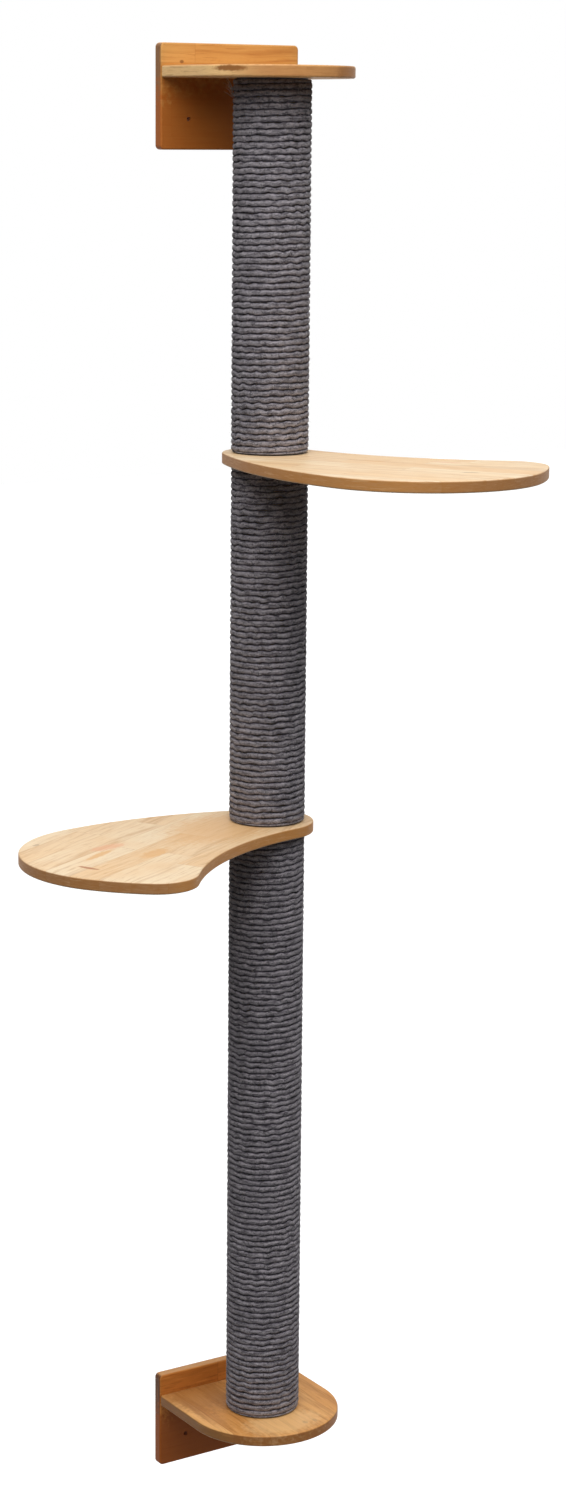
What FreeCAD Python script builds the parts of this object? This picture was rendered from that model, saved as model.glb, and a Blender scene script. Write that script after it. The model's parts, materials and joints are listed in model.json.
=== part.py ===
import FreeCAD, Part
import math
import os

from FreeCAD import Placement, Rotation, Vector

# Wall mounted cat tree: a rope-wound post held between two wall brackets, with two
# bean-shaped lying boards clamped between the post's three sections.
# Millimetres. X runs along the wall to the right, Y points into the wall (the plates'
# backs lie on Y = 0) and Z is up. The origin is midway between the two fixing holes
# of the lower wall plate, on the wall's face.

# ---------------------------------------------------------------- driving dimensions
# Brackets: a wall plate with a D-shaped console standing off it
plate_thickness = 18.0
plate_width = 250.0
plate_height = 160.0
plate_corner_radius = 7.0
plate_above_console = 34.0
plate_edge_round = 3.0
console_thickness = 18.0
console_back_corner_radius = 5.0
console_edge_round = 3.0
post_offset = 120.0              # plate's front face to the post's axis
wall_hole_count = 2
wall_hole_spacing = 150.0
wall_hole_height = 46.0          # above the plate's lower edge
wall_hole_diameter = 7.0

# Console fixings, driven in from the plate's back
console_screw_spacing = 90.0
console_screw_count = 3
console_screw_diameter = 5.0
console_screw_head_diameter = 10.0
console_screw_length = 50.0
dowel_spacing = 90.0
dowel_count = 2
dowel_diameter = 8.0
dowel_depth_in_plate = 12.0
dowel_depth_in_console = 24.0
wood_hole_clearance = 0.1        # on the radius, round screws and dowels

# Post: three tubes wound with rope
post_diameter = 120.0            # over the rope
rope_diameter = 9.0              # pulled tight
rope_pitch = 9.45
rope_seat_gap = 0.3              # rope to tube
rope_end_gap = 0.3               # rope to the caps' flanges
shown_turns = 24                 # turns wound as one tube, the rest is a plain stretch
rope_end_azimuth = 125.0         # degrees, where the windings begin, towards the wall
tube_wall = 4.0
lower_section_length = 975.0     # board face to board face
middle_section_length = 565.0
upper_section_length = 565.0

# End caps, pressed into the tubes
cap_flange_thickness = 2.0
cap_flange_diameter = 108.0
cap_depth = 20.0
cap_ring_wall = 8.0
cap_boss_diameter = 30.0
cap_rib_count = 6
cap_rib_thickness = 4.0
cap_fit_clearance = 0.1          # on the radius, cap in tube
cap_screw_count = 3
cap_screw_diameter = 3.5
cap_screw_head_diameter = 7.0
cap_screw_length = 11.0

# Bolts, studs, insert nuts and washers
bolt_diameter = 10.0
bolt_clearance = 0.3             # on the radius, in boards, consoles and flanges
thread_clearance = 0.1           # on the radius, in the insert nuts
insert_diameter = 14.0
insert_collar_diameter = 20.0
insert_collar_thickness = 2.0
insert_fit_clearance = 0.05      # on the radius, insert in the cap's boss
thread_engagement = 18.0
bolt_head_diameter = 16.0
bolt_head_height = 6.0
bolt_socket_width = 8.0
bolt_socket_depth = 3.5
washer_diameter = 30.0
washer_thickness = 2.0
counterbore_depth = 9.0
counterbore_clearance = 1.0      # on the radius, round the washer

# Rope staples
staple_crown = 6.8
staple_wire_width = 1.2
staple_wire_thickness = 0.8
staple_bite = 3.0                # how far the legs reach into the tube
staple_clearance = 0.1
staple_edge_distance = 4.5       # a winding's end to its staple

# Lying boards, in their own frame: the post's axis at the origin, the lobe towards +X
# and the hollow side towards +Y
board_thickness = 18.0
board_edge_round = 2.5
neck_radius = 74.0
lobe_reach = 288.0               # post's axis to the lobe's centre, along the board
lobe_offset = 20.0               # and across it
lobe_radius = 187.0
back_side_radius = 620.0         # the bulging side, from the neck to the lobe
tip_radius = 340.0               # the lobe's flatter outer end
tip_start_angle = 23.0           # degrees round the lobe, where the tip begins
corner_radius = 64.0
corner_angle = 38.5              # degrees, where the corner leaves the tip
hollow_radius = 470.0            # the hollow side, from the corner back to the neck
lower_board_heading = 192.5      # degrees from +X, seen from above
upper_board_heading = -76.0

os.makedirs("parts", exist_ok=True)
UP = Vector(0, 0, 1)
TO_WALL = Vector(0, 1, 0)
SAME = 1e-6                      # lengths closer than this are the same

# ---------------------------------------------------------------- derived places
post_axis = Vector(0, -(plate_thickness + post_offset), 0)
tube_radius = post_diameter / 2 - rope_diameter - rope_seat_gap
tube_bore_radius = tube_radius - tube_wall
winding_radius = post_diameter / 2 - rope_diameter / 2      # the rope's centre line
bolt_radius = bolt_diameter / 2
insert_depth = cap_flange_thickness + cap_depth
cap_screw_start = rope_end_azimuth + 180.0 / cap_screw_count    # clear of the staples
cap_rib_start = cap_screw_start + 180.0 / cap_rib_count         # between the screws
lobe_centre = Vector(lobe_reach, lobe_offset, 0)

bottom_plate_low = -wall_hole_height
bottom_console_top = bottom_plate_low + plate_height - plate_above_console
lower_board_low = bottom_console_top + lower_section_length
middle_section_low = lower_board_low + board_thickness
upper_board_low = middle_section_low + middle_section_length
upper_section_low = upper_board_low + board_thickness
top_console_low = upper_section_low + upper_section_length
top_console_top = top_console_low + console_thickness
top_plate_low = top_console_top + plate_above_console - plate_height

SECTIONS = (
    ("lower", bottom_console_top, lower_section_length),
    ("middle", middle_section_low, middle_section_length),
    ("upper", upper_section_low, upper_section_length),
)


# ---------------------------------------------------------------- helpers
def cylinder(radius, length, base, direction=UP):
    return Part.makeCylinder(radius, length, base, direction)


def ring(outer_radius, inner_radius, length, base, direction=UP):
    return cylinder(outer_radius, length, base, direction).cut(
        cylinder(inner_radius, length, base, direction))


def at_post(z):
    return post_axis + Vector(0, 0, z)


def spread(count, spacing):
    """Places of a centred row of count things, spacing apart."""
    return [(i - (count - 1) / 2) * spacing for i in range(count)]


def around(count, first=0.0):
    """Angles in degrees of count things spread evenly round a circle."""
    return [first + 360.0 * i / count for i in range(count)]


def polar(radius, angle, centre=Vector(0, 0, 0)):
    """The point at a radius and an angle in degrees from a centre, in its plane."""
    turn = math.radians(angle)
    return centre + Vector(radius * math.cos(turn), radius * math.sin(turn), 0)


def angle_of(vector):
    return math.degrees(math.atan2(vector.y, vector.x))


def export(name, shape):
    shape.exportStep("parts/" + name + ".step")
    print("%-26s solids %2d  volume %12.1f mm3" % (name, len(shape.Solids), shape.Volume))


def countersunk_screw(seat, direction, diameter, head_diameter, length, clearance=0.0):
    """A countersunk screw with its head's face at seat, or, with a clearance, its hole."""
    radius = diameter / 2 + clearance
    head_radius = head_diameter / 2 + clearance
    head_depth = (head_diameter - diameter) / 2
    profile = Part.makePolygon([
        Vector(0, 0, 0), Vector(head_radius, 0, 0), Vector(radius, 0, head_depth),
        Vector(radius, 0, length + clearance), Vector(0, 0, length + clearance),
        Vector(0, 0, 0)])
    body = Part.Face(profile).revolve(Vector(0, 0, 0), UP, 360)
    body.Placement = Placement(seat, Rotation(UP, direction))
    return body


# ---------------------------------------------------------------- brackets
def rounded_slab(width, height, depth, corner, edge_round, low_centre):
    """A wall plate: a slab in the XZ plane whose back lies at low_centre's Y."""
    slab = Part.makeBox(width, depth, height, low_centre - Vector(width / 2, depth, 0))
    through = [e for e in slab.Edges if abs(e.Vertexes[0].Y - e.Vertexes[-1].Y) > SAME]
    slab = slab.makeFillet(corner, through)
    rims = [e for e in slab.Edges if abs(e.Vertexes[0].Y - e.Vertexes[-1].Y) < SAME]
    return slab.makeFillet(edge_round, rims)


def console_outline(z):
    """A D: straight back against the plate, straight sides and a half-round front."""
    half = plate_width / 2
    back = -plate_thickness
    corner = console_back_corner_radius
    axis_y = post_axis.y
    bite = corner * (1 - math.sqrt(0.5))
    start = Vector(-half + corner, back, z)
    points = {
        "right_back": Vector(half - corner, back, z),
        "right_bend": Vector(half - bite, back - bite, z),
        "right_side": Vector(half, back - corner, z),
        "right_front": Vector(half, axis_y, z),
        "nose": Vector(0, axis_y - half, z),
        "left_front": Vector(-half, axis_y, z),
        "left_side": Vector(-half, back - corner, z),
        "left_bend": Vector(-half + bite, back - bite, z),
    }
    return Part.Wire([
        Part.LineSegment(start, points["right_back"]).toShape(),
        Part.Arc(points["right_back"], points["right_bend"], points["right_side"]).toShape(),
        Part.LineSegment(points["right_side"], points["right_front"]).toShape(),
        Part.Arc(points["right_front"], points["nose"], points["left_front"]).toShape(),
        Part.LineSegment(points["left_front"], points["left_side"]).toShape(),
        Part.Arc(points["left_side"], points["left_bend"], start).toShape(),
    ])


def console_screws(z, clearance=0.0):
    """The row of screws at a console's mid-height, heads at the plate's back."""
    return [countersunk_screw(Vector(x, 0, z), -TO_WALL, console_screw_diameter,
                              console_screw_head_diameter, console_screw_length, clearance)
            for x in spread(console_screw_count, console_screw_spacing)]


def console_dowels(z, clearance=0.0):
    """Dowels across the joint between plate and console."""
    seat_y = -plate_thickness + dowel_depth_in_plate + clearance
    length = dowel_depth_in_plate + dowel_depth_in_console + 2 * clearance
    return [cylinder(dowel_diameter / 2 + clearance, length, Vector(x, seat_y, z), -TO_WALL)
            for x in spread(dowel_count, dowel_spacing)]


def wall_plate(low_z, console_mid_z):
    plate = rounded_slab(plate_width, plate_height, plate_thickness, plate_corner_radius,
                         plate_edge_round, Vector(0, 0, low_z))
    for x in spread(wall_hole_count, wall_hole_spacing):
        seat = Vector(x, 0, low_z + wall_hole_height)
        plate = plate.cut(cylinder(wall_hole_diameter / 2, plate_thickness, seat, -TO_WALL))
    return plate.cut(console_screws(console_mid_z, wood_hole_clearance)
                     + console_dowels(console_mid_z, wood_hole_clearance))


def console(low_z, outer_side):
    """A console whose bolt is sunk in its outer side: +1 is the top face, -1 the underside."""
    body = Part.Face(console_outline(low_z)).extrude(UP * console_thickness)
    free_edges = [e for e in body.Edges
                  if abs(e.Vertexes[0].Z - e.Vertexes[-1].Z) < SAME
                  and e.CenterOfMass.y < -plate_thickness - SAME]
    body = body.makeFillet(console_edge_round, free_edges)
    mid_z = low_z + console_thickness / 2
    outer_z = mid_z + outer_side * console_thickness / 2
    inward = UP * -outer_side
    body = body.cut(cylinder(washer_diameter / 2 + counterbore_clearance,
                             counterbore_depth, at_post(outer_z), inward))
    body = body.cut(cylinder(bolt_radius + bolt_clearance, console_thickness,
                             at_post(outer_z), inward))
    return body.cut(console_screws(mid_z, wood_hole_clearance)
                    + console_dowels(mid_z, wood_hole_clearance))


def end_bolt_and_washer(low_z, outer_side):
    """The socket-head bolt and washer that hold the post's end to a console."""
    inward = UP * -outer_side
    outer_z = low_z + console_thickness / 2 + outer_side * console_thickness / 2
    washer_seat = at_post(outer_z) + inward * counterbore_depth
    head_seat = washer_seat - inward * washer_thickness
    washer = ring(washer_diameter / 2, bolt_radius + bolt_clearance, washer_thickness,
                  washer_seat, inward * -1)
    web = console_thickness - counterbore_depth
    shank_length = washer_thickness + web + cap_flange_thickness + thread_engagement
    head_top = head_seat - inward * bolt_head_height
    bolt = cylinder(bolt_radius, shank_length, head_seat, inward)
    bolt = bolt.fuse(cylinder(bolt_head_diameter / 2, bolt_head_height, head_seat, inward * -1))
    socket_corners = [polar(bolt_socket_width / math.sqrt(3), a) + head_top for a in around(6)]
    socket = Part.Face(Part.makePolygon(socket_corners + socket_corners[:1]))
    return bolt.cut(socket.extrude(inward * bolt_socket_depth)), washer


# ---------------------------------------------------------------- tubes and caps
def cap_screws(end_z, into_tube, clearance=0.0):
    """Radial screws through the tube's wall into a cap's ring, at mid-depth of the ring."""
    z = end_z + into_tube * (cap_flange_thickness + cap_depth / 2)
    screws = []
    for angle in around(cap_screw_count, cap_screw_start):
        seat = polar(tube_radius, angle, at_post(z))
        inward = (at_post(z) - seat).normalize()
        screws.append(countersunk_screw(seat, inward, cap_screw_diameter,
                                        cap_screw_head_diameter, cap_screw_length, clearance))
    return screws


def end_cap(end_z, into_tube):
    """A flange on the board, and a ring, ribs and a boss that reach into the tube."""
    inward = UP * into_tube
    ring_radius = tube_bore_radius - cap_fit_clearance
    inner_radius = ring_radius - cap_ring_wall
    base = at_post(end_z)
    seat = base + inward * cap_flange_thickness
    body = cylinder(cap_flange_diameter / 2, cap_flange_thickness, base, inward)
    body = body.fuse(ring(ring_radius, inner_radius, cap_depth, seat, inward))
    body = body.fuse(cylinder(cap_boss_diameter / 2, cap_depth, seat, inward))
    low = min(seat.z, (seat + inward * cap_depth).z)
    for angle in around(cap_rib_count, cap_rib_start):
        rib = Part.makeBox(inner_radius + cap_ring_wall / 2, cap_rib_thickness, cap_depth,
                           Vector(0, -cap_rib_thickness / 2, 0))
        rib.Placement = Placement(Vector(post_axis.x, post_axis.y, low), Rotation(UP, angle))
        body = body.fuse(rib)
    body = body.cut(cylinder(insert_diameter / 2 + insert_fit_clearance, cap_depth,
                             seat, inward))
    body = body.cut(cylinder(bolt_radius + bolt_clearance, cap_flange_thickness, base, inward))
    body = body.cut(cap_screws(end_z, into_tube, wood_hole_clearance))
    return body.removeSplitter()


def insert_nut(end_z, into_tube):
    """A collared insert, fitted from inside so that the bolt pulls its collar to the boss."""
    inward = UP * into_tube
    seat = at_post(end_z) + inward * cap_flange_thickness
    collar = at_post(end_z) + inward * insert_depth
    body = cylinder(insert_diameter / 2, cap_depth, seat, inward)
    body = body.fuse(cylinder(insert_collar_diameter / 2, insert_collar_thickness,
                              collar, inward))
    bore_length = cap_depth + insert_collar_thickness
    return body.cut(cylinder(bolt_radius + thread_clearance, bore_length, seat, inward))


def tube(low_z, length, staples):
    low = low_z + cap_flange_thickness
    body = ring(tube_radius, tube_bore_radius, length - 2 * cap_flange_thickness, at_post(low))
    holes = (cap_screws(low_z, 1, wood_hole_clearance)
             + cap_screws(low_z + length, -1, wood_hole_clearance) + staples)
    return body.cut(holes)


# ---------------------------------------------------------------- rope
def helix_point(turns, low_z):
    """A point on the winding's centre line and the line's direction there."""
    angle = rope_end_azimuth + 360.0 * turns
    point = polar(winding_radius, angle, at_post(low_z + rope_pitch * turns))
    around_post = polar(2 * math.pi * winding_radius, angle + 90.0)
    return point, (around_post + UP * rope_pitch).normalize()


def arc_middle(start, direction, end):
    """The middle of the arc from start to end that leaves start in a direction."""
    chord = end - start
    half_turn = direction.getAngle(chord)
    rise = chord.Length / 2 * math.tan(half_turn / 2)
    side = direction - chord * (direction.dot(chord) / chord.dot(chord))
    return (start + end) * 0.5 + side.normalize() * rise


def biarc(start, start_direction, end, end_direction):
    """Two tangent arcs between two points with given directions."""
    span = end - start
    both = start_direction + end_direction
    slack = 2 * (1 - start_direction.dot(end_direction))
    reach = (math.sqrt(span.dot(both) ** 2 + slack * span.dot(span))
             - span.dot(both)) / slack
    joint = ((start + start_direction * reach) + (end - end_direction * reach)) * 0.5
    first_middle = arc_middle(start, start_direction, joint)
    second_middle = arc_middle(end, end_direction * -1, joint)
    return [Part.Arc(start, first_middle, joint).toShape(),
            Part.Arc(joint, second_middle, end).toShape()]


def rope_turns(first_z):
    """One unbroken rope: a straight end, shown_turns turns and another straight end."""
    steps_per_turn = 4
    steps = [helix_point(i / steps_per_turn, first_z)
             for i in range(shown_turns * steps_per_turn + 1)]
    start, start_direction = steps[0]
    end, end_direction = steps[-1]
    tail = start - start_direction * rope_diameter
    edges = [Part.LineSegment(tail, start).toShape()]
    for (point, direction), (next_point, next_direction) in zip(steps, steps[1:]):
        edges += biarc(point, direction, next_point, next_direction)
    edges.append(Part.LineSegment(end, end + end_direction * rope_diameter).toShape())
    path = Part.Wire(edges)
    profile = Part.Wire([Part.Circle(tail, start_direction, rope_diameter / 2).toShape()])
    rope = path.makePipeShell([profile], True, False)
    return rope, path


def least_gap(path):
    """The rope's least gap to itself, from points and chords along its centre line."""
    per_turn = 72
    points = path.discretize(Number=shown_turns * per_turn)
    nearest = path.Length
    for i, point in enumerate(points):
        later = points[i + per_turn // 2:i + 3 * per_turn // 2]
        for start, end in zip(later, later[1:]):
            chord = end - start
            share = min(1.0, max(0.0, (point - start).dot(chord) / chord.dot(chord)))
            nearest = min(nearest, (start + chord * share - point).Length)
    return nearest - rope_diameter


def staple(z, azimuth, clearance=0.0):
    """A staple over the rope, legs through it into the tube. With a clearance, the slot
    for it, which is open to the outside."""
    width = staple_wire_width + 2 * clearance
    crown_height = staple_crown + 2 * clearance
    opening = rope_diameter if clearance else 0.0
    outer = post_diameter / 2 + opening
    tip = tube_radius - staple_bite - clearance
    crown_thickness = staple_wire_thickness + clearance + opening
    leg_height = staple_wire_thickness + 2 * clearance
    crown = Part.makeBox(crown_thickness, width, crown_height,
                         Vector(outer - crown_thickness, -width / 2, -crown_height / 2))
    body = crown
    for low in (-crown_height / 2, crown_height / 2 - leg_height):
        body = body.fuse(Part.makeBox(outer - tip, width, leg_height,
                                      Vector(tip, -width / 2, low)))
    body.Placement = Placement(at_post(z), Rotation(UP, azimuth))
    return body.removeSplitter()


def arc_degrees(length):
    """The angle that a length along the winding covers, in degrees."""
    return math.degrees(length / winding_radius)


def build_section(name, low_z, length):
    """One post section: tube, caps, insert nuts, screws, rope and staples."""
    high_z = low_z + length
    first_z = low_z + cap_flange_thickness + rope_end_gap + rope_diameter / 2
    plain_low = first_z + shown_turns * rope_pitch + rope_diameter / 2 + rope_end_gap
    plain_high = high_z - cap_flange_thickness - rope_end_gap
    places = (
        (first_z, rope_end_azimuth - arc_degrees(staple_edge_distance)),
        (plain_high - rope_diameter / 2, rope_end_azimuth),
    )
    staples = [staple(z, azimuth) for z, azimuth in places]
    staple_holes = [staple(z, azimuth, staple_clearance) for z, azimuth in places]

    turns, path = rope_turns(first_z)
    print("%s winding: least gap to itself %.2f mm" % (name, least_gap(path)))
    export(name + "_rope_turns", turns.cut(staple_holes[0]))
    plain = ring(post_diameter / 2, tube_radius + rope_seat_gap, plain_high - plain_low,
                 at_post(plain_low))
    export(name + "_rope", plain.cut(staple_holes[1]))
    export(name + "_rope_staples", Part.makeCompound(staples))
    export(name + "_tube", tube(low_z, length, staple_holes))
    export(name + "_tube_bottom_cap", end_cap(low_z, 1))
    export(name + "_tube_top_cap", end_cap(high_z, -1))
    export(name + "_insert_nuts", Part.makeCompound([insert_nut(low_z, 1),
                                                     insert_nut(high_z, -1)]))
    export(name + "_cap_screws", Part.makeCompound(cap_screws(low_z, 1)
                                                   + cap_screws(high_z, -1)))


# ---------------------------------------------------------------- lying boards
def centre_between(centre_a, distance_a, centre_b, distance_b):
    """The point at given distances from two centres, to the left of the line a to b."""
    span = centre_b - centre_a
    along = (distance_a ** 2 - distance_b ** 2 + span.Length ** 2) / (2 * span.Length)
    across = math.sqrt(distance_a ** 2 - along ** 2)
    unit = Vector(span).normalize()
    return centre_a + unit * along + Vector(-unit.y, unit.x, 0) * across


def outline_arc(centre, radius, start, end, bulge=1):
    """The arc about a centre from start to end, anticlockwise, or clockwise for bulge -1."""
    first = angle_of(start - centre)
    sweep = ((angle_of(end - centre) - first) * bulge) % 360.0 * bulge
    return Part.Arc(start, polar(radius, first + sweep / 2, centre), end).toShape()


def board_outline():
    """Six tangent arcs: neck, bulging side, lobe, tip, corner and hollow side."""
    neck = Vector(0, 0, 0)
    side = centre_between(neck, back_side_radius - neck_radius,
                          lobe_centre, back_side_radius - lobe_radius)
    tip = polar(lobe_radius - tip_radius, tip_start_angle, lobe_centre)
    corner = polar(tip_radius - corner_radius, corner_angle, tip)
    hollow = centre_between(neck, hollow_radius + neck_radius,
                            corner, hollow_radius + corner_radius)
    neck_to_side = neck + (neck - side).normalize() * neck_radius
    side_to_lobe = lobe_centre + (lobe_centre - side).normalize() * lobe_radius
    lobe_to_tip = polar(lobe_radius, tip_start_angle, lobe_centre)
    tip_to_corner = polar(tip_radius, corner_angle, tip)
    corner_to_hollow = corner + (hollow - corner).normalize() * corner_radius
    hollow_to_neck = neck + (hollow - neck).normalize() * neck_radius
    return Part.Wire([
        outline_arc(side, back_side_radius, neck_to_side, side_to_lobe),
        outline_arc(lobe_centre, lobe_radius, side_to_lobe, lobe_to_tip),
        outline_arc(tip, tip_radius, lobe_to_tip, tip_to_corner),
        outline_arc(corner, corner_radius, tip_to_corner, corner_to_hollow),
        outline_arc(hollow, hollow_radius, corner_to_hollow, hollow_to_neck, -1),
        outline_arc(neck, neck_radius, hollow_to_neck, neck_to_side),
    ])


def lying_board(low_z, heading):
    body = Part.Face(board_outline()).extrude(UP * board_thickness)
    rims = [e for e in body.Edges if abs(e.Vertexes[0].Z - e.Vertexes[-1].Z) < SAME]
    body = body.makeFillet(board_edge_round, rims)
    body = body.cut(cylinder(bolt_radius + bolt_clearance, board_thickness, Vector(0, 0, 0)))
    body.Placement = Placement(at_post(low_z), Rotation(UP, heading))
    return body


def joining_stud(board_low_z):
    reach = cap_flange_thickness + thread_engagement
    return cylinder(bolt_radius, board_thickness + 2 * reach, at_post(board_low_z - reach))


# ---------------------------------------------------------------- the whole tree
for name, plate_low, console_low, outer_side in (
        ("bottom", bottom_plate_low, bottom_console_top - console_thickness, -1),
        ("top", top_plate_low, top_console_low, 1)):
    mid_z = console_low + console_thickness / 2
    bolt, washer = end_bolt_and_washer(console_low, outer_side)
    export(name + "_wall_plate", wall_plate(plate_low, mid_z))
    export(name + "_console", console(console_low, outer_side))
    export(name + "_console_screws", Part.makeCompound(console_screws(mid_z)))
    export(name + "_console_dowels", Part.makeCompound(console_dowels(mid_z)))
    export(name + "_end_bolt", bolt)
    export(name + "_end_washer", washer)

for name, low_z, length in SECTIONS:
    build_section(name, low_z, length)

for name, low_z, heading in (("lower", lower_board_low, lower_board_heading),
                             ("upper", upper_board_low, upper_board_heading)):
    export(name + "_platform", lying_board(low_z, heading))
    export(name + "_joining_stud", joining_stud(low_z))
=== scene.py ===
import json
import math

import bpy
import numpy as np
from mathutils import Euler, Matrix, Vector


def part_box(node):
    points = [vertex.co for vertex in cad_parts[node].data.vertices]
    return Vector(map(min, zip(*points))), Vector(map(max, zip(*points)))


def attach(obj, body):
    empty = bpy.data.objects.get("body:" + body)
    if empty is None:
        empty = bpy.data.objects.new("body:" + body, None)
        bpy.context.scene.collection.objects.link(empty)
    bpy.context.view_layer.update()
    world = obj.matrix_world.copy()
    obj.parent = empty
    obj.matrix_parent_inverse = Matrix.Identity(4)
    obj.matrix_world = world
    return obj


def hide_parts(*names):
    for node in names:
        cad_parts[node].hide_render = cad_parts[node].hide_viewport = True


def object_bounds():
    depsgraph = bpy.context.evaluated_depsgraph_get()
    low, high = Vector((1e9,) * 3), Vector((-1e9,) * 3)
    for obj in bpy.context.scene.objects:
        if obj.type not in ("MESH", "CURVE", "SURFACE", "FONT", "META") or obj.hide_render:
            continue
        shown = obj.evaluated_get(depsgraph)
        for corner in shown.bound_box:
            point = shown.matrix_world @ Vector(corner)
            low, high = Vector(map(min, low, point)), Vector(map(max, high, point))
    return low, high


# Wall mounted cat tree: looks. Metres, in the row frame: X along the wall to the right,
# Y into the wall, Z up, the origin midway between the lower plate's two fixing holes.

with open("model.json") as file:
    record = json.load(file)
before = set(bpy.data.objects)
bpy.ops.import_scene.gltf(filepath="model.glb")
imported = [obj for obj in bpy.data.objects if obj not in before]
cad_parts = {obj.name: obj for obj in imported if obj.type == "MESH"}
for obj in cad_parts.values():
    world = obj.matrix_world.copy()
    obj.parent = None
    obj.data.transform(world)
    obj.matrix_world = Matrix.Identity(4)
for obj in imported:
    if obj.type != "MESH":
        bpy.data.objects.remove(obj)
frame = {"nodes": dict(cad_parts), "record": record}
cad_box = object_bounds()

SECTIONS = ("lower", "middle", "upper")
ROOT_BODY = "post_and_brackets"

# ---------------------------------------------------------------- places from the frame
tube_low, tube_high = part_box("upper_tube")
POST_AXIS = Vector(((tube_low.x + tube_high.x) / 2, (tube_low.y + tube_high.y) / 2, 0.0))
BOARD_HEADING = {"lower": math.radians(192.5), "upper": math.radians(-76.0)}

# ---------------------------------------------------------------- camera
CAMERA_PLACE = Vector((-2.5126, -4.0479, 2.1548))
CAMERA_HEADING = math.radians(33.03)     # from +Y towards +X
CAMERA_PITCH = math.radians(11.78)       # downwards
CAMERA_ROLL = math.radians(0.516)
CAMERA_LENS = 72.17                      # mm
CAMERA_FILM = 36.0                       # mm, along the picture's long side
CAMERA_REACH = 100.0


def make_camera():
    ahead = Vector((math.sin(CAMERA_HEADING), math.cos(CAMERA_HEADING), 0.0))
    forward = ahead * math.cos(CAMERA_PITCH) - Vector((0, 0, math.sin(CAMERA_PITCH)))
    data = bpy.data.cameras.new("camera")
    data.lens = CAMERA_LENS
    data.sensor_width = CAMERA_FILM
    data.clip_end = CAMERA_REACH
    camera = bpy.data.objects.new("camera", data)
    camera.location = CAMERA_PLACE
    camera.rotation_mode = "QUATERNION"
    roll = Euler((0.0, 0.0, CAMERA_ROLL)).to_quaternion()
    camera.rotation_quaternion = forward.to_track_quat("-Z", "Y") @ roll
    bpy.context.scene.collection.objects.link(camera)
    bpy.context.scene.camera = camera


# ---------------------------------------------------------------- shader helpers
class Shader:
    """A material with one Principled shader, and short calls that add nodes to it."""

    def __init__(self, name):
        self.material = bpy.data.materials.new(name)
        self.material.use_nodes = True
        self.tree = self.material.node_tree
        self.surface = self.tree.nodes["Principled BSDF"]

    def put(self, socket, value):
        if isinstance(value, bpy.types.NodeSocket):
            self.tree.links.new(value, socket)
        elif isinstance(value, (tuple, list)) and socket.type == "RGBA":
            socket.default_value = (*value[:3], 1.0)
        else:
            socket.default_value = value

    def node(self, kind, inputs=None, **settings):
        node = self.tree.nodes.new("ShaderNode" + kind)
        for name, value in settings.items():
            setattr(node, name, value)
        for key, value in (inputs or {}).items():
            self.put(node.inputs[key], value)
        return node

    def shade(self, **values):
        for name, value in values.items():
            self.put(self.surface.inputs[name.replace("_", " ")], value)

    def math(self, operation, a, b=0.0):
        return self.node("Math", {0: a, 1: b}, operation=operation).outputs[0]

    def mean(self, a, b):
        return self.math("ADD", self.math("MULTIPLY", a, 0.5), self.math("MULTIPLY", b, 0.5))

    def vector(self, operation, a, b=(0.0, 0.0, 0.0)):
        node = self.node("VectorMath", {0: a, 1: b}, operation=operation)
        return node.outputs["Value" if operation == "LENGTH" else "Vector"]

    def split(self, vector):
        return self.node("SeparateXYZ", {0: vector}).outputs

    def join(self, x, y, z):
        return self.node("CombineXYZ", {0: x, 1: y, 2: z}).outputs[0]

    def mapped(self, vector, place=(0, 0, 0), turn=(0, 0, 0), scale=(1, 1, 1)):
        return self.node("Mapping", {"Vector": vector, "Location": place, "Rotation": turn,
                                     "Scale": scale}, vector_type="TEXTURE").outputs[0]

    def stretched(self, vector, scale):
        return self.vector("MULTIPLY", vector, scale)

    def noise(self, vector, scale=1.0, detail=3.0, roughness=0.5, distortion=0.0):
        node = self.node("TexNoise", {"Vector": vector, "Scale": scale, "Detail": detail,
                                      "Roughness": roughness, "Distortion": distortion})
        return node.outputs["Fac"]

    def random(self, vector):
        """A random number for each cell of whole-number coordinates, and a random colour."""
        node = self.node("TexWhiteNoise", {"Vector": vector}, noise_dimensions="3D")
        return node.outputs["Value"], node.outputs["Color"]

    def span(self, value, low, high, to_low=0.0, to_high=1.0, smooth=True):
        node = self.node("MapRange", {0: value, 1: low, 2: high, 3: to_low, 4: to_high},
                         interpolation_type="SMOOTHSTEP" if smooth else "LINEAR")
        return node.outputs[0]

    def mix(self, factor, a, b, blend="MIX"):
        node = self.node("Mix", data_type="RGBA", blend_type=blend)
        self.put(node.inputs[0], factor)
        self.put(node.inputs[6], a)
        self.put(node.inputs[7], b)
        return node.outputs[2]

    def layer(self, colour, value, low, high, share, tone):
        """The colour, with a share of the tone painted over it where the value is at high."""
        return self.mix(self.span(value, low, high, 0.0, share), colour, tone)

    def bump(self, height, distance, strength):
        return self.node("Bump", {"Height": height, "Distance": distance,
                                  "Strength": strength}).outputs[0]

    def object_place(self):
        return self.node("TexCoord").outputs["Object"]

    def attribute(self, name):
        node = self.node("Attribute", attribute_type="GEOMETRY", attribute_name=name)
        return node.outputs["Vector"]


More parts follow.
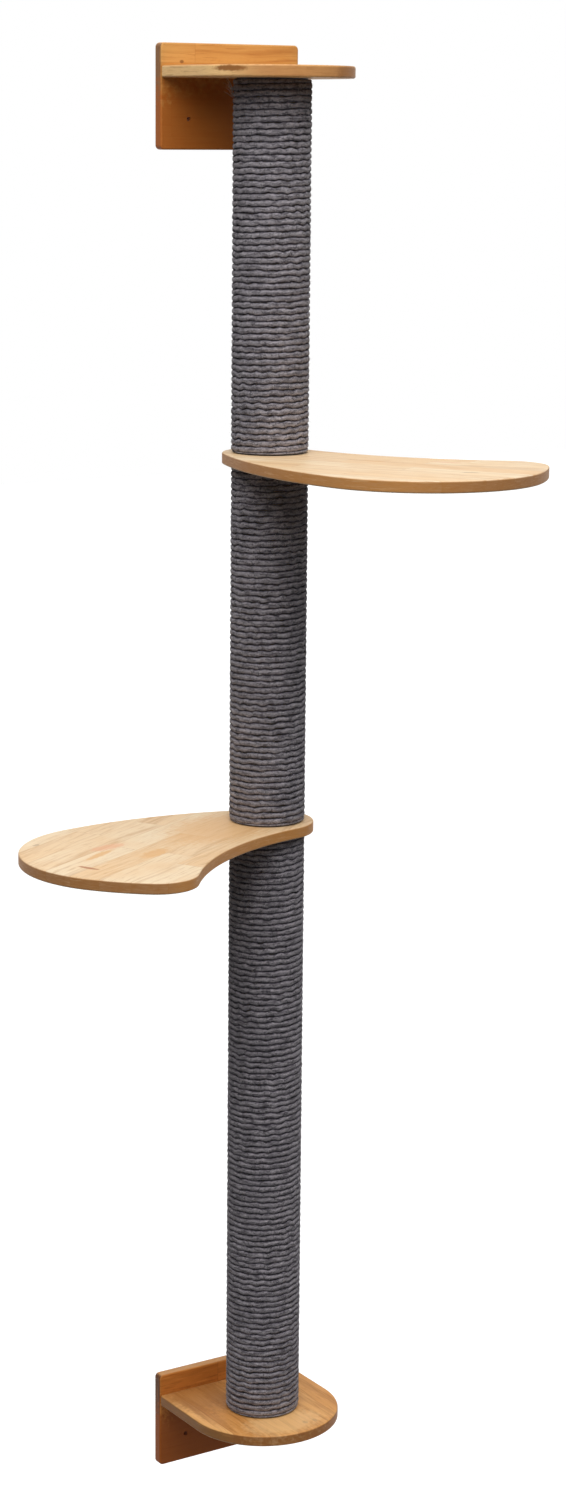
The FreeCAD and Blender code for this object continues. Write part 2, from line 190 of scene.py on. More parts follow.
# ---------------------------------------------------------------- wood
# Linear colours. Each wood has the tones of its pale and deep staves, its grain lines,
# its long-grain sides and its end grain.
BOARD_TONES = {"pale": (0.86, 0.69, 0.47), "deep": (0.78, 0.50, 0.25), "line": (0.50, 0.26, 0.10),
               "side": (0.51, 0.205, 0.038), "end": (0.38, 0.15, 0.035)}
TOP_PLATE_TONES = {"pale": (0.71, 0.375, 0.11), "deep": (0.60, 0.265, 0.058),
                   "line":(0.40, 0.13, 0.028),
                   "side": (0.70, 0.38, 0.15), "end": (0.25, 0.12, 0.055)}
TOP_CONSOLE_TONES = {"pale": (0.80, 0.47, 0.20), "deep": (0.66, 0.33, 0.11),
                     "line":(0.36, 0.14, 0.04),
                     "side": (1.0, 0.66, 0.30), "end": (0.55, 0.255, 0.085)}
BOTTOM_PLATE_TONES = {"pale": (0.80, 0.335, 0.08), "deep": (0.56, 0.18, 0.030),
                      "line":(0.24, 0.058, 0.012),
                      "side": (0.60, 0.31, 0.12), "end": (0.062, 0.023, 0.009)}
BOTTOM_CONSOLE_TONES = {"pale": (0.82, 0.44, 0.155), "deep": (0.58, 0.245, 0.060),
                        "line":(0.32, 0.115, 0.025),
                        "side": (0.22, 0.095, 0.026), "end": (0.30, 0.115, 0.030)}
DOWEL_TONES = {"pale": (0.78, 0.56, 0.32), "deep": (0.70, 0.46, 0.24), "line": (0.50, 0.30, 0.14),
               "side": (0.74, 0.50, 0.28), "end": (0.52, 0.32, 0.15)}
KNOT_TONE = (0.17, 0.052, 0.014)
UMBER_TONE = (0.30, 0.115, 0.028)
CHESTNUT_TONE = (0.40, 0.12, 0.03)
# Painted shade for the top plate under its console.
RUSSET_SHADE_TONE = (0.46, 0.118, 0.013)
# Painted shade for the bottom plate under its console.
MAROON_SHADE_TONE = (0.34, 0.083, 0.010)
CREAM_TONE = (0.98, 0.66, 0.33)
ROSE_TONE = (0.78, 0.40, 0.22)
AMBER_TONE = (0.74, 0.42, 0.17)

# How much the noise fields are stretched along the grain, across it and through it.
BEND_STRETCH = (2.5, 9.0, 9.0)
RING_STRETCH = (3.0, 95.0, 95.0)
FLECK_STRETCH = (22.0, 240.0, 240.0)
PORE_STRETCH = (45.0, 900.0, 900.0)
STREAK_STRETCH = (25.0, 25.0, 300.0)
STAVE_APART = (3.0, 3.0, 3.0)            # how far apart two staves' noise may be taken
STAVE_CONTRAST = 0.8                     # how far a stave's tone goes from pale to deep
GRAIN_BEND = 7.0                         # how far the rings wave sideways
SEAM_WIDTH = 0.0012                      # of the line along a joint between staves
SEAM_SHARE = 0.30
SEAM_DEPTH = 0.4
FLANK_SHARE = 0.9
FIGURE_EDGE = (0.55, 1.15)               # where a figure starts to fade, and is gone
FIGURE_RAGGEDNESS = 0.9
WOOD_ROUGHNESS = 0.5
WOOD_RELIEF = 0.00025


def staves(shader, place, width, length, shift):
    """Glued staves along X: each stave's own random number and colour, and the joints."""
    x, y = shader.split(place)[:2]
    across = shader.math("DIVIDE", shader.math("SUBTRACT", y, shift), width)
    row = shader.math("FLOOR", across)
    stagger, _ = shader.random(shader.join(row, 3.0, 7.0))
    along = shader.math("ADD", shader.math("DIVIDE", x, length), stagger)
    cell = shader.math("FLOOR", along)
    tone, tint = shader.random(shader.join(row, cell, 1.0))
    edge_across = shader.math("MULTIPLY", shader.math("PINGPONG", across, 0.5), width)
    edge_along = shader.math("MULTIPLY", shader.math("PINGPONG", along, 0.5), length)
    nearest = shader.math("MINIMUM", edge_across, edge_along)
    return tone, tint, shader.span(nearest, 0.0, SEAM_WIDTH, 1.0, 0.0)


def figure_mask(shader, place, ragged, centre, size, turn):
    """1 inside an ellipsoid in the grain's frame, fading to 0 at its ragged edge."""
    local = shader.mapped(place, centre, (0.0, 0.0, math.radians(turn)), size)
    distance = shader.vector("LENGTH", local)
    return shader.span(shader.math("ADD", distance, ragged), *FIGURE_EDGE, 1.0, 0.0)


def wood(name, tones, origin, turn, stave_width, stave_length, stave_shift, figures=()):
    """Laminated wood. After the turn its grain runs along the local X, and Z is the face's
    normal. figures are (tone, strength, centre, size, turn) patches in that frame."""
    shader = Shader(name)
    place = shader.mapped(shader.object_place(), origin, turn)
    normal = shader.split(shader.mapped(shader.node("TexCoord").outputs["Normal"], turn=turn))
    tone, tint, joint = staves(shader, place, stave_width, stave_length, stave_shift)
    own = shader.vector("ADD", place, shader.stretched(tint, STAVE_APART))
    bend = shader.noise(shader.stretched(own, BEND_STRETCH), detail=2.0)
    grain_place = shader.vector("ADD", shader.stretched(own, RING_STRETCH),
                                shader.join(0.0, shader.math("MULTIPLY", bend, GRAIN_BEND), 0.0))
    rings = shader.noise(grain_place, detail=4.0, roughness=0.6, distortion=0.3)
    flecks = shader.noise(shader.stretched(own, FLECK_STRETCH), detail=3.0, roughness=0.6)
    pores = shader.noise(shader.stretched(own, PORE_STRETCH), detail=2.0)
    blotches = shader.noise(own, scale=14.0, detail=2.0)

    colour = shader.mix(shader.math("MULTIPLY", tone, STAVE_CONTRAST), tones["pale"],
                        tones["deep"])
    colour = shader.layer(colour, blotches, 0.35, 0.75, 0.45, tones["deep"])
    colour = shader.layer(colour, rings, 0.45, 0.72, 0.50, tones["line"])
    colour = shader.layer(colour, flecks, 0.54, 0.72, 0.42, tones["line"])
    colour = shader.layer(colour, flecks, 0.46, 0.30, 0.45, tones["pale"])
    colour = shader.layer(colour, pores, 0.60, 0.80, 0.25, tones["line"])
    colour = shader.mix(shader.math("MULTIPLY", joint, SEAM_SHARE), colour, tones["line"])

    streak = shader.noise(shader.stretched(own, STREAK_STRETCH), detail=4.0, roughness=0.65)
    side = shader.span(shader.math("ABSOLUTE", normal[2]), 0.80, 0.25)
    end = shader.span(shader.math("ABSOLUTE", normal[0]), 0.25, 0.85)
    flank = shader.mix(end, tones["side"], tones["end"])
    flank = shader.layer(flank, streak, 0.48, 0.68, 0.45, tones["line"])
    flank = shader.layer(flank, streak, 0.48, 0.30, 0.35, tones["deep"])
    colour = shader.mix(shader.math("MULTIPLY", side, FLANK_SHARE), colour, flank)

    rough = shader.noise(own, scale=140.0)
    ragged = shader.math("MULTIPLY", shader.math("SUBTRACT", rough, 0.5), FIGURE_RAGGEDNESS)
    for figure_tone, strength, centre, size, figure_turn in figures:
        mask = figure_mask(shader, place, ragged, centre, size, figure_turn)
        colour = shader.mix(shader.math("MULTIPLY", mask, strength), colour, figure_tone)
    height = shader.math("SUBTRACT", shader.mean(rings, pores),
                         shader.math("MULTIPLY", joint, SEAM_DEPTH))
    shader.shade(Base_Color=colour, Specular_IOR_Level=0.2,
                 Roughness=shader.span(pores, 0.2, 0.9, WOOD_ROUGHNESS - 0.06,
                                       WOOD_ROUGHNESS + 0.1),
                 Normal=shader.bump(height, WOOD_RELIEF, 0.5))
    return shader.material


# ---------------------------------------------------------------- rope
ROPE_PITCH = 0.00945
ROPE_RADIUS = 0.0045
ROPE_START = math.radians(125.0)
STEPS_PER_TURN = 180
PROFILE_POINTS = 12
SQUARENESS = 2.35                        # 2 is a round section, more is squarer
TAIL_FLATNESS = 0.35                     # how much a wedge-shaped tail thins across
TAIL_TIP = 0.0003
LAY_LENGTH = 0.036
STRANDS = 3
STRAND_RELIEF = 0.022
WANDER = 0.0008                          # how far a turn strays up and down
EASE_TURNS = 2.0                         # the straying sets in over these turns at each end
SWELL = 0.11                             # wide swellings, as a share of the rope's radius
KNOBS = 0.08                             # narrow ones
OUTWARD_SHARE = 0.4                      # how much of both shows outwards
# For each field: how many waves, how many crests they have round the post, and their height.
WANDER_WAVES = (16, (2, 20), (0.028, 0.25))
SWELL_WAVES = (18, (3, 20), (0.006, 0.026))
KNOB_WAVES = (18, (20, 60), (0.006, 0.03))
HAIR_POINTS = 7                          # two rings of three, and the tip
FIBRES_PER_SQUARE_CM = 3.4
FIBRE_DEPTH = 0.9                        # where a fibre is rooted, in rope radii
FIBRE_LENGTHS = (0.0025, 0.0075)
FIBRE_WIDTHS = (0.00018, 0.00042)
FIBRE_TINTS = (0.0, 0.65)
FRAY_COUNT = 12
FRAY_HEADINGS = (141.0, 153.0)           # degrees from +X
FRAY_DROPS = (0.010, 0.026)              # how far below the last turn the strands leave
FRAY_SPREAD = 0.12
FRAY_LENGTHS = (0.012, 0.026)
FRAY_WIDTHS = (0.0006, 0.0012)
FRAY_TINTS = (0.85, 1.0)


def field(rng, waves, around_range, along_range):
    """A smooth random function of an angle and a height, periodic in the angle."""
    around = rng.integers(around_range[0], around_range[1] + 1, waves) * rng.choice((-1, 1), waves)
    along = 2 * math.pi / rng.uniform(along_range[0], along_range[1], waves)
    phase = rng.uniform(0, 2 * math.pi, waves)

    def value(angle, height):
        total = sum(np.sin(a * angle + k * height + p) for a, k, p in zip(around, along, phase))
        return total / math.sqrt(waves)

    return value


def new_piece(name, vertices, faces, smooth=True):
    mesh = bpy.data.meshes.new(name)
    mesh.from_pydata(vertices, [], faces)
    mesh.update()
    mesh.shade_smooth() if smooth else mesh.shade_flat()
    piece = bpy.data.objects.new(name, mesh)
    bpy.context.scene.collection.objects.link(piece)
    return piece


def mesh_piece(name, vertices, corners, starts, attribute, values):
    """A smooth mesh from flat arrays, with one vector stored on each of its points."""
    mesh = bpy.data.meshes.new(name)
    mesh.vertices.add(len(vertices))
    mesh.vertices.foreach_set("co", vertices.astype(np.float32).ravel())
    mesh.loops.add(len(corners))
    mesh.loops.foreach_set("vertex_index", corners.astype(np.int32))
    mesh.polygons.add(len(starts))
    mesh.polygons.foreach_set("loop_start", starts.astype(np.int32))
    mesh.update(calc_edges=True)
    mesh.shade_smooth()
    stored = mesh.attributes.new(attribute, "FLOAT_VECTOR", "POINT")
    stored.data.foreach_set("vector", values.astype(np.float32).ravel())
    piece = bpy.data.objects.new(name, mesh)
    bpy.context.scene.collection.objects.link(piece)
    return piece


def tube_piece(name, rings, attribute, values):
    """A closed tube through rings, an array of (ring, point, 3)."""
    count, around, _ = rings.shape
    index = np.arange(count * around).reshape(count, around)
    a, b = index[:-1], index[1:]
    quads = np.stack([a, np.roll(a, -1, 1), np.roll(b, -1, 1), b], axis=-1).reshape(-1, 4)
    ends = np.concatenate([index[0][::-1], index[-1]])
    corners = np.concatenate([quads.ravel(), ends])
    starts = np.concatenate([np.arange(len(quads)) * 4, len(quads) * 4 + np.array([0, around])])
    return mesh_piece(name, rings.reshape(-1, 3), corners, starts, attribute, values)


def belongs_to_rope(piece, material, *nodes):
    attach(piece, ROOT_BODY)
    if nodes:
        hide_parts(*nodes)
    piece.data.materials.append(material)


def section_rope(name):
    """Where a section's rope lies: its first and last turn's height, turns and radius."""
    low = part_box(name + "_rope_turns")[0].z + ROPE_RADIUS
    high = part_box(name + "_rope")[1].z - ROPE_RADIUS
    outer = (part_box(name + "_rope")[1].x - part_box(name + "_rope")[0].x) / 2
    return low, high, round((high - low) / ROPE_PITCH), outer - ROPE_RADIUS


def winding(name, seed, material):
    """One section's rope, wound without a break from end to end. Its first and last turn
    taper to a wedge that fills the space between the rising turns and the flange."""
    rng = np.random.default_rng(seed)
    low, high, turns, centre_radius = section_rope(name)
    pitch = (high - low) / turns
    turn = np.linspace(-1.0, turns + 1.0, (turns + 2) * STEPS_PER_TURN + 1)
    angle = ROPE_START + 2 * math.pi * turn
    length = 2 * math.pi * centre_radius * turn
    before, after = np.clip(-turn, 0, 1), np.clip(turn - turns, 0, 1)
    tail = before + after
    height = low + pitch * np.clip(turn, 0, turns) + ROPE_RADIUS * (after - before)
    ease = np.clip(np.minimum(turn, turns - turn) / EASE_TURNS, 0, 1)
    wander = field(rng, *WANDER_WAVES)(angle, height)
    swell = field(rng, *SWELL_WAVES)(angle, height)
    knobs = field(rng, *KNOB_WAVES)(angle, height)
    centre = height + WANDER * wander * ease
    thick = 1 + (SWELL * swell + KNOBS * knobs) * (1 - tail)
    rise = ROPE_RADIUS * thick * (1 - tail) + TAIL_TIP
    reach = ROPE_RADIUS * (1 + OUTWARD_SHARE * (thick - 1)) * (1 - TAIL_FLATNESS * tail)

    side = np.linspace(0, 2 * math.pi, PROFILE_POINTS, endpoint=False)
    outward = np.sign(np.cos(side)) * np.abs(np.cos(side)) ** (2 / SQUARENESS)
    upward = np.sign(np.sin(side)) * np.abs(np.sin(side)) ** (2 / SQUARENESS)
    lay = STRANDS * side[None, :] - (2 * math.pi * length / LAY_LENGTH)[:, None]
    relief = 1 + STRAND_RELIEF * np.cos(lay)
    out = centre_radius + reach[:, None] * relief * outward[None, :]
    x = POST_AXIS.x + out * np.cos(angle)[:, None]
    y = POST_AXIS.y + out * np.sin(angle)[:, None]
    z = centre[:, None] + rise[:, None] * relief * upward[None, :]
    values = np.stack([np.broadcast_to(length[:, None], out.shape), lay / STRANDS,
                       np.broadcast_to(outward[None, :], out.shape)], axis=-1)
    piece = tube_piece(name + "_winding", np.stack([x, y, z], axis=-1), "rope_place", values)
    belongs_to_rope(piece, material, name + "_rope", name + "_rope_turns")


def hairs(name, roots, first, bend, lengths, widths, tints, material):
    """Fine fibres: three-sided, tapering to a point, leaving along first and bending."""
    count = len(roots)
    side = np.cross(first, bend)
    side /= np.linalg.norm(side, axis=1, keepdims=True)
    up = np.cross(side, first)
    rings = []
    for share, width in ((0.0, 1.0), (0.5, 0.75)):
        centre = roots + first * (lengths * share)[:, None] + bend * (lengths * share ** 2)[:, None]
        for turn in (0.0, 2 * math.pi / 3, 4 * math.pi / 3):
            rings.append(centre + (side * math.cos(turn) + up * math.sin(turn))
                         * (widths * width / 2)[:, None])
    tip = roots + first * lengths[:, None] + bend * lengths[:, None]
    vertices = np.stack(rings + [tip], axis=1)
    quads = [(0, 1, 4, 3), (1, 2, 5, 4), (2, 0, 3, 5)]
    triangles = [(3, 4, 6), (4, 5, 6), (5, 3, 6), (2, 1, 0)]
    base = (np.arange(count) * HAIR_POINTS)[:, None]
    corners = np.concatenate([(base + np.array(quads).ravel()).ravel(),
                              (base + np.array(triangles).ravel()).ravel()])
    starts = np.concatenate([np.arange(count * len(quads)) * 4,
                             count * len(quads) * 4 + np.arange(count * len(triangles)) * 3])
    values = np.repeat(tints[:, None], HAIR_POINTS, axis=1)[:, :, None] * np.ones(3)
    piece = mesh_piece(name, vertices.reshape(-1, 3), corners, starts, "fibre_tint",
                       values.reshape(-1, 3))
    belongs_to_rope(piece, material)


def unit(vectors):
    return vectors / np.linalg.norm(vectors, axis=1, keepdims=True)


def rope_fibres(name, seed, material):
    """The short fibres that stand off a section's rope."""
    rng = np.random.default_rng(seed)
    low, high, turns, centre_radius = section_rope(name)
    outer = centre_radius + ROPE_RADIUS
    area = 2 * math.pi * outer * (high - low) * 1e4
    count = int(area * FIBRES_PER_SQUARE_CM)
    turn = rng.uniform(0, turns, count)
    angle = ROPE_START + 2 * math.pi * turn
    around = rng.uniform(-1.0, 1.0, count)
    out = centre_radius + ROPE_RADIUS * FIBRE_DEPTH * np.cos(around)
    z = low + (high - low) * turn / turns + ROPE_RADIUS * FIBRE_DEPTH * np.sin(around)
    roots = np.stack([POST_AXIS.x + out * np.cos(angle), POST_AXIS.y + out * np.sin(angle), z],
                     axis=1)
    normal = np.stack([np.cos(angle) * np.cos(around), np.sin(angle) * np.cos(around),
                       np.sin(around)], axis=1)
    along = np.stack([-np.sin(angle), np.cos(angle), np.zeros(count)], axis=1)
    along *= rng.choice((-1.0, 1.0), count)[:, None]
    slope = rng.normal(0, 0.35, (count, 1)) * np.array([[0, 0, 1.0]])
    lift = rng.uniform(0.05, 0.5, (count, 1))
    first = unit(along + slope + normal * lift)
    bend = rng.normal(0, 0.25, (count, 3)) - first * 0.1
    lengths = rng.uniform(*FIBRE_LENGTHS, count)
    widths = rng.uniform(*FIBRE_WIDTHS, count)
    tints = rng.uniform(*FIBRE_TINTS, count)
    hairs(name + "_rope_fibres", roots, first, bend, lengths, widths, tints, material)


def frayed_end(name, seed, material):
    """The loose strands of the last turn's end, under the top console."""
    rng = np.random.default_rng(seed)
    _, high, _, centre_radius = section_rope(name)
    angle = np.radians(rng.uniform(*FRAY_HEADINGS, FRAY_COUNT))
    out = centre_radius + ROPE_RADIUS
    roots = np.stack([POST_AXIS.x + out * np.cos(angle), POST_AXIS.y + out * np.sin(angle),
                      high - rng.uniform(*FRAY_DROPS, FRAY_COUNT)], axis=1)
    away = np.stack([np.cos(angle), np.sin(angle), np.zeros(FRAY_COUNT)], axis=1)
    first = unit(away * rng.uniform(0.45, 0.95, (FRAY_COUNT, 1)) + np.array([[0.0, 0.0, 1.0]])
                 + rng.normal(0, FRAY_SPREAD, (FRAY_COUNT, 3)))
    bend = rng.normal(0, FRAY_SPREAD, (FRAY_COUNT, 3)) + away * 0.1
    lengths = rng.uniform(*FRAY_LENGTHS, FRAY_COUNT)
    widths = rng.uniform(*FRAY_WIDTHS, FRAY_COUNT)
    tints = rng.uniform(*FRAY_TINTS, FRAY_COUNT)
    hairs(name + "_rope_fray", roots, first, bend, lengths, widths, tints, material)


def rope_material():
    shader = Shader("rope")
    place = shader.object_place()
    length, lay, outward = shader.split(shader.attribute("rope_place"))
    yarn_place = shader.join(shader.math("MULTIPLY", length, 150.0),
                             shader.math("MULTIPLY", shader.math("SINE", lay), 5.0),
                             shader.math("MULTIPLY", shader.math("COSINE", lay), 5.0))
    yarns = shader.noise(yarn_place, detail=5.0, roughness=0.7)
    fibres = shader.noise(place, scale=450.0, detail=4.0, roughness=0.75)
    lumps = shader.noise(place, scale=210.0, detail=3.0, roughness=0.6)
    z = shader.split(place)[2]
    dashes = shader.noise(shader.join(shader.math("MULTIPLY", length, 60.0),
                                      shader.math("MULTIPLY", z, 250.0), 0.0), detail=3.0)
    gaps = shader.noise(shader.join(shader.math("MULTIPLY", length, 38.0),
                                    shader.math("MULTIPLY", z, 110.0), 5.0), detail=3.0)
    dye = shader.noise(place, scale=16.0, detail=2.0)
    colour = shader.mix(shader.span(yarns, 0.32, 0.68), (0.105, 0.096, 0.107),
                        (0.42, 0.390, 0.420))
    colour = shader.layer(colour, dashes, 0.44, 0.32, 0.40, (0.50, 0.465, 0.495))
    colour = shader.layer(colour, dashes, 0.48, 0.64, 0.75, (0.062, 0.055, 0.066))
    colour = shader.layer(colour, lumps, 0.52, 0.68, 0.70, (0.032, 0.028, 0.036))
    colour = shader.layer(colour, fibres, 0.54, 0.70, 0.7, (0.70, 0.66, 0.68))
    colour = shader.layer(colour, dye, 0.4, 0.65, 0.25, (0.13, 0.122, 0.138))
    # Painted shade: the grooves between the turns are painted dark and a little blue, less so where
    # the gaps close.
    closed = shader.span(gaps, 0.50, 0.34, 0.01, 0.45)
    painted_groove_shade = shader.math("MAXIMUM", shader.span(outward, 0.35, 0.95, 0.01, 1.0), closed)
    red = shader.math("MULTIPLY", painted_groove_shade, shader.span(painted_groove_shade, 0.0, 1.0, 0.88, 1.0, smooth=False))
    green = shader.math("MULTIPLY", painted_groove_shade, shader.span(painted_groove_shade, 0.0, 1.0, 0.80, 1.0, smooth=False))
    colour = shader.mix(1.0, colour, shader.join(red, green, painted_groove_shade), "MULTIPLY")
    shader.shade(Base_Color=colour, Roughness=0.95, Sheen_Weight=0.15, Sheen_Roughness=0.6,
                 Specular_IOR_Level=0.05,
                 Normal=shader.bump(shader.mean(yarns, lumps), 0.0012, 0.9))
    return shader.material


def fibre_material():
    shader = Shader("rope_fibre")
    tint = shader.split(shader.attribute("fibre_tint"))[0]
    colour = shader.mix(shader.span(tint, 0.0, 1.0, smooth=False), (0.08, 0.076, 0.085),
                        (0.95, 0.84, 0.77))
    mottle = shader.noise(shader.object_place(), scale=600.0)
    colour = shader.layer(colour, mottle, 0.3, 0.7, 0.3, (0.20, 0.19, 0.19))
    shader.shade(Base_Color=colour, Roughness=0.9, Specular_IOR_Level=0.2)
    return shader.material


# ---------------------------------------------------------------- plain materials
SPECKLE_RELIEF = 0.00005


def speckled(name, tone, variation, roughness, metallic=0.0, scale=400.0, stretch=(1, 1, 1)):
    """Plastic, metal or card: a fine noise in colour, roughness and surface."""
    shader = Shader(name)
    place = shader.stretched(shader.object_place(), stretch)
    grain = shader.noise(place, scale=scale, detail=4.0)
    large = shader.noise(place, scale=scale / 12, detail=2.0)
    other = tuple(c * variation for c in tone)
    colour = shader.mix(shader.span(shader.mean(grain, large), 0.35, 0.65), tone, other)
    shader.shade(Base_Color=colour, Metallic=metallic,
                 Roughness=shader.span(grain, 0.3, 0.7, roughness - 0.06, roughness + 0.06),
                 Normal=shader.bump(grain, SPECKLE_RELIEF, 0.6))
    return shader.material


# ---------------------------------------------------------------- stage
FLOOR_DROP = 0.35                        # below the object
FLOOR_HALF = 15.0
FLOOR_SEEN = 0.8                         # the floor's tone and glow for the eye
FLOOR_GLOW = 0.42
SUN_DISTANCE = 6.0
FLOOR_TONE = 0.10                        # what lights the object from below
SKY_LOW, SKY_HIGH = 0.01, 1.00           # the studio's light at eye level and overhead


def white_for_the_eye(tree, seen, real):
    """Mixes two shaders: the seen one for camera, glossy and transmission rays."""
    light = tree.nodes.new("ShaderNodeLightPath")
    either = tree.nodes.new("ShaderNodeMath")
    either.operation = "MAXIMUM"
    tree.links.new(light.outputs["Is Camera Ray"], either.inputs[0])
    tree.links.new(light.outputs["Is Glossy Ray"], either.inputs[1])
    every = tree.nodes.new("ShaderNodeMath")
    every.operation = "MAXIMUM"
    tree.links.new(either.outputs[0], every.inputs[0])
    tree.links.new(light.outputs["Is Transmission Ray"], every.inputs[1])
    mix = tree.nodes.new("ShaderNodeMixShader")
    tree.links.new(every.outputs[0], mix.inputs[0])
    tree.links.new(real, mix.inputs[1])
    tree.links.new(seen, mix.inputs[2])
    return mix.outputs[0]


def make_world():
    world = bpy.data.worlds.new("studio")
    bpy.context.scene.world = world
    world.use_nodes = True
    tree = world.node_tree
    tree.nodes.clear()
    seen = tree.nodes.new("ShaderNodeBackground")
    seen.inputs[0].default_value = (1, 1, 1, 1)
    real = tree.nodes.new("ShaderNodeBackground")
    real.inputs[0].default_value = (1, 1, 1, 1)
    direction = tree.nodes.new("ShaderNodeTexCoord")
    parts = tree.nodes.new("ShaderNodeSeparateXYZ")
    tree.links.new(direction.outputs["Generated"], parts.inputs[0])
    rise = tree.nodes.new("ShaderNodeMapRange")
    for index, value in enumerate((0.0, 1.0, SKY_LOW, SKY_HIGH), start=1):
        rise.inputs[index].default_value = value
    tree.links.new(parts.outputs["Z"], rise.inputs[0])
    tree.links.new(rise.outputs[0], real.inputs[1])
    output = tree.nodes.new("ShaderNodeOutputWorld")
    tree.links.new(white_for_the_eye(tree, seen.outputs[0], real.outputs[0]), output.inputs[0])


def make_floor():
    half, low = FLOOR_HALF, cad_box[0].z - FLOOR_DROP
    corners = [(-half, -half, low), (half, -half, low), (half, half, low), (-half, half, low)]
    floor = new_piece("floor", corners, [(0, 1, 2, 3)], smooth=False)
    material = bpy.data.materials.new("floor")
    material.use_nodes = True
    tree = material.node_tree
    tree.nodes.clear()
    pale = tree.nodes.new("ShaderNodeBsdfDiffuse")
    pale.inputs[0].default_value = (FLOOR_SEEN, FLOOR_SEEN, FLOOR_SEEN, 1)
    glow = tree.nodes.new("ShaderNodeEmission")
    glow.inputs[1].default_value = FLOOR_GLOW
    seen = tree.nodes.new("ShaderNodeAddShader")
    tree.links.new(pale.outputs[0], seen.inputs[0])
    tree.links.new(glow.outputs[0], seen.inputs[1])
    ground = tree.nodes.new("ShaderNodeBsdfDiffuse")
    ground.inputs[0].default_value = (FLOOR_TONE, FLOOR_TONE, FLOOR_TONE, 1)
    output = tree.nodes.new("ShaderNodeOutputMaterial")
    tree.links.new(white_for_the_eye(tree, seen.outputs[0], ground.outputs[0]), output.inputs[0])
    floor.data.materials.append(material)


def sun(name, heading, elevation, strength, softness):
    """A soft lamp. Heading is where it stands, in degrees from +X seen from above."""
    turn, rise = math.radians(heading), math.radians(elevation)
    towards = Vector((math.cos(turn) * math.cos(rise), math.sin(turn) * math.cos(rise),
                      math.sin(rise)))
    data = bpy.data.lights.new(name, "SUN")
    data.energy = strength
    data.angle = math.radians(softness)
    lamp = bpy.data.objects.new(name, data)
    lamp.rotation_mode = "QUATERNION"
    lamp.rotation_quaternion = towards.to_track_quat("Z", "Y")
    lamp.location = towards * SUN_DISTANCE
    bpy.context.scene.collection.objects.link(lamp)


def soft_box(name, place, target, power, width):
    """A round soft lamp close by, so that the light falls off down the post."""
    data = bpy.data.lights.new(name, "AREA")
    data.shape = "DISK"
    data.size = width
    data.energy = power
    lamp = bpy.data.objects.new(name, data)
    lamp.location = place
    lamp.rotation_mode = "QUATERNION"
    lamp.rotation_quaternion = (target - place).to_track_quat("-Z", "Y")
    lamp.visible_camera = False
    bpy.context.scene.collection.objects.link(lamp)


# ---------------------------------------------------------------- the scene
GRAIN_TURN = 16.0                        # degrees, the boards' staves against their own X
FLAT = 10.0                              # a figure that reaches through the whole board


def in_grain(x, y):
    """A place in a board's own frame turned into its grain's frame."""
    c, s = math.cos(math.radians(GRAIN_TURN)), math.sin(math.radians(GRAIN_TURN))
    return x * c + y * s, -x * s + y * c, 0.0


# The marks on each wood, and on the lower board a painted shade round the post's foot: tone,
# strength, centre, size and turn in degrees.
LOWER_FIGURES = (
    (CHESTNUT_TONE, 0.80, in_grain(0.4175, 0.043), (0.022, 0.0050, FLAT), 86.0),
    (AMBER_TONE, 0.80, in_grain(0.352, -0.006), (0.045, 0.008, FLAT), 2.0),
    (ROSE_TONE, 0.70, in_grain(0.310, -0.034), (0.038, 0.014, FLAT), -14.0),
    (KNOT_TONE, 0.35, in_grain(0.380, -0.118), (0.008, 0.005, FLAT), 0.0),
    (AMBER_TONE, 0.80, in_grain(0.282, 0.043), (0.038, 0.015, FLAT), 0.0),
    # Painted shade: a deeper amber round the post's foot, where the post hides the light.
    (AMBER_TONE, 0.60, in_grain(0.090, -0.010), (0.14, 0.08, FLAT), 0.0),
)
UPPER_FIGURES = (
    (KNOT_TONE, 0.35, in_grain(0.389, 0.016), (0.016, 0.006, FLAT), 20.0),
    (ROSE_TONE, 0.40, in_grain(0.277, 0.095), (0.03, 0.008, FLAT), 0.0),
    (AMBER_TONE, 0.40, in_grain(0.193, 0.025), (0.02, 0.01, FLAT), 0.0),
)


def board_wood(name, figures):
    turn = (0.0, 0.0, BOARD_HEADING[name] + math.radians(GRAIN_TURN))
    return wood(name + "_board_wood", BOARD_TONES, tuple(POST_AXIS), turn, stave_width=0.048,
                stave_length=0.33, stave_shift=-0.0226, figures=figures)


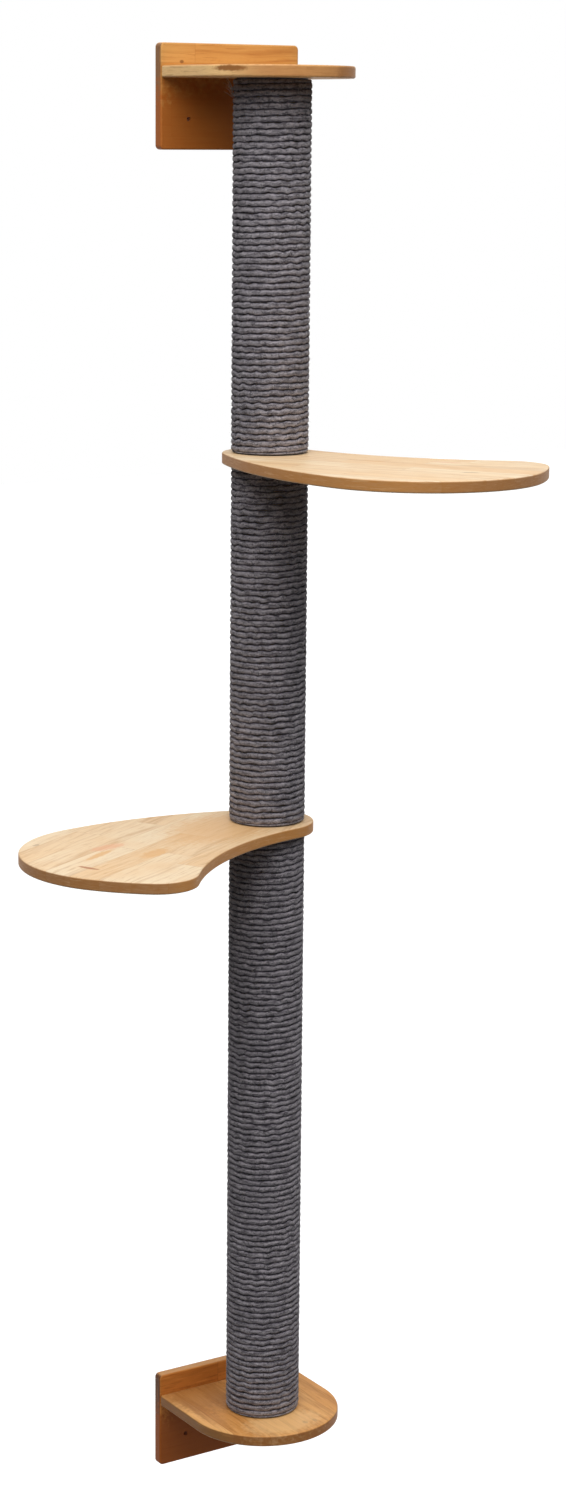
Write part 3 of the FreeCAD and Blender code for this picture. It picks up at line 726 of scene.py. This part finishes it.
def bracket_woods():
    """The plates' grain runs along the wall, the consoles' off it. In a plate's frame the
    local Y is up. In a console's frame the local X is into the wall and Y to the left."""
    top_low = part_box("top_wall_plate")[0].z
    bottom_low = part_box("bottom_wall_plate")[0].z
    edge_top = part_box("top_console")[1].z
    upright = (math.pi / 2, 0.0, 0.0)
    outward = (0.0, 0.0, math.pi / 2)
    origin = (0.0, 0.0, 0.0)
    return {
        "top_wall_plate": wood(
            "top_plate_wood", TOP_PLATE_TONES, origin, upright, 0.055, 0.6, top_low + 0.02,
            ((KNOT_TONE, 0.7, (-0.088, top_low + 0.132, 0.0), (0.004, 0.003, FLAT), 0.0),
             (KNOT_TONE, 0.2, (-0.049, top_low + 0.076, 0.0), (0.006, 0.004, FLAT), 0.0),
             # Painted shade: a deep russet on the plate under the console, where the console hides
             # the light; it reaches through to the plate's back.
             (RUSSET_SHADE_TONE, 0.85, (-0.020, top_low + 0.035, 0.0), (0.22, 0.085, FLAT), 0.0))),
        "top_console": wood(
            "top_console_wood", TOP_CONSOLE_TONES, origin, outward, 0.045, 0.6, 0.065,
            ((UMBER_TONE, 0.95, (-0.194, 0.112, edge_top - 0.0055), (0.032, 0.032, 0.0050), 0.0),
             (UMBER_TONE, 0.60, (-0.240, -0.072, edge_top - 0.009), (0.045, 0.045, 0.016), 0.0))),
        "bottom_wall_plate": wood(
            "bottom_plate_wood", BOTTOM_PLATE_TONES, origin, upright, 0.055, 0.6, 0.01,
            # Painted shade: a deep maroon on the plate under the console, where the console hides
            # the light; it reaches through to the plate's back.
            ((MAROON_SHADE_TONE, 0.90, (-0.040, bottom_low + 0.035, 0.0), (0.22, 0.085, FLAT), 0.0),)),
        "bottom_console": wood(
            "bottom_console_wood", BOTTOM_CONSOLE_TONES, origin, outward, 0.046, 0.5, 0.009,
            ((KNOT_TONE, 0.50, (-0.233, -0.022, 0.0), (0.007, 0.005, FLAT), 0.0),
             (KNOT_TONE, 0.40, (-0.235, -0.040, 0.0), (0.006, 0.004, FLAT), 0.0),
             # Painted shade: a deeper umber at the console's back left, where the lower board's
             # shadow falls. Painted light: a pale cream patch at its front.
             (UMBER_TONE, 0.50, (-0.050, 0.070, 0.0), (0.08, 0.08, FLAT), 0.0),
             (CREAM_TONE, 0.40, (-0.215, 0.010, 0.0), (0.045, 0.075, FLAT), 0.0),
             (BOTTOM_CONSOLE_TONES["line"], 0.40, (-0.105, 0.100, 0.0), (0.10, 0.016, FLAT), 4.0),
             (BOTTOM_CONSOLE_TONES["line"], 0.45, (-0.085, 0.048, 0.0), (0.07, 0.020, FLAT), 0.0))),
    }


def dress_frame(rope):
    """Gives every CAD node its material."""
    by_slot = {
        "rope": rope,
        "dowel_wood": wood("dowel_wood", DOWEL_TONES, (0, 0, 0), (0.0, 0.0, math.pi / 2),
                           stave_width=1.0, stave_length=1.0, stave_shift=0.5),
        "tube_card": speckled("tube_card", (0.34, 0.22, 0.11), variation=0.7, roughness=0.85,
                              scale=90.0, stretch=(1, 1, 0.2)),
        "cap_plastic": speckled("cap_plastic", (0.012, 0.012, 0.013), variation=1.6,
                                roughness=0.5),
        "insert_brass": speckled("insert_brass", (0.65, 0.42, 0.15), variation=0.85,
                                 roughness=0.3, metallic=1.0, stretch=(1, 1, 6)),
        "steel": speckled("steel", (0.58, 0.59, 0.61), variation=0.8, roughness=0.32,
                          metallic=1.0, scale=700.0, stretch=(1, 1, 5)),
    }
    by_node = bracket_woods()
    by_node["lower_platform"] = board_wood("lower", LOWER_FIGURES)
    by_node["upper_platform"] = board_wood("upper", UPPER_FIGURES)
    for part in frame["record"]["subparts"]:
        name = part["node"]
        material = by_node.get(name) or by_slot[part["material_slot"]]
        mesh = frame["nodes"][name].data
        mesh.materials.clear()
        mesh.materials.append(material)


make_camera()
make_world()
make_floor()
sun("left_key", 215.0, 50.0, 0.40, 45.0)
sun("right_key", 285.0, 50.0, 0.65, 45.0)
soft_box("soft_box", place=Vector((-1.05, -1.50, 3.25)), target=Vector((0.0, -0.14, 1.7)),
         power=23.0, width=1.8)
rope, fibre = rope_material(), fibre_material()
dress_frame(rope)
for seed, section in enumerate(SECTIONS):
    winding(section, seed, rope)
    rope_fibres(section, seed + 10, fibre)
frayed_end("upper", 20, fibre)

bpy.context.scene.view_settings.view_transform = "Standard"
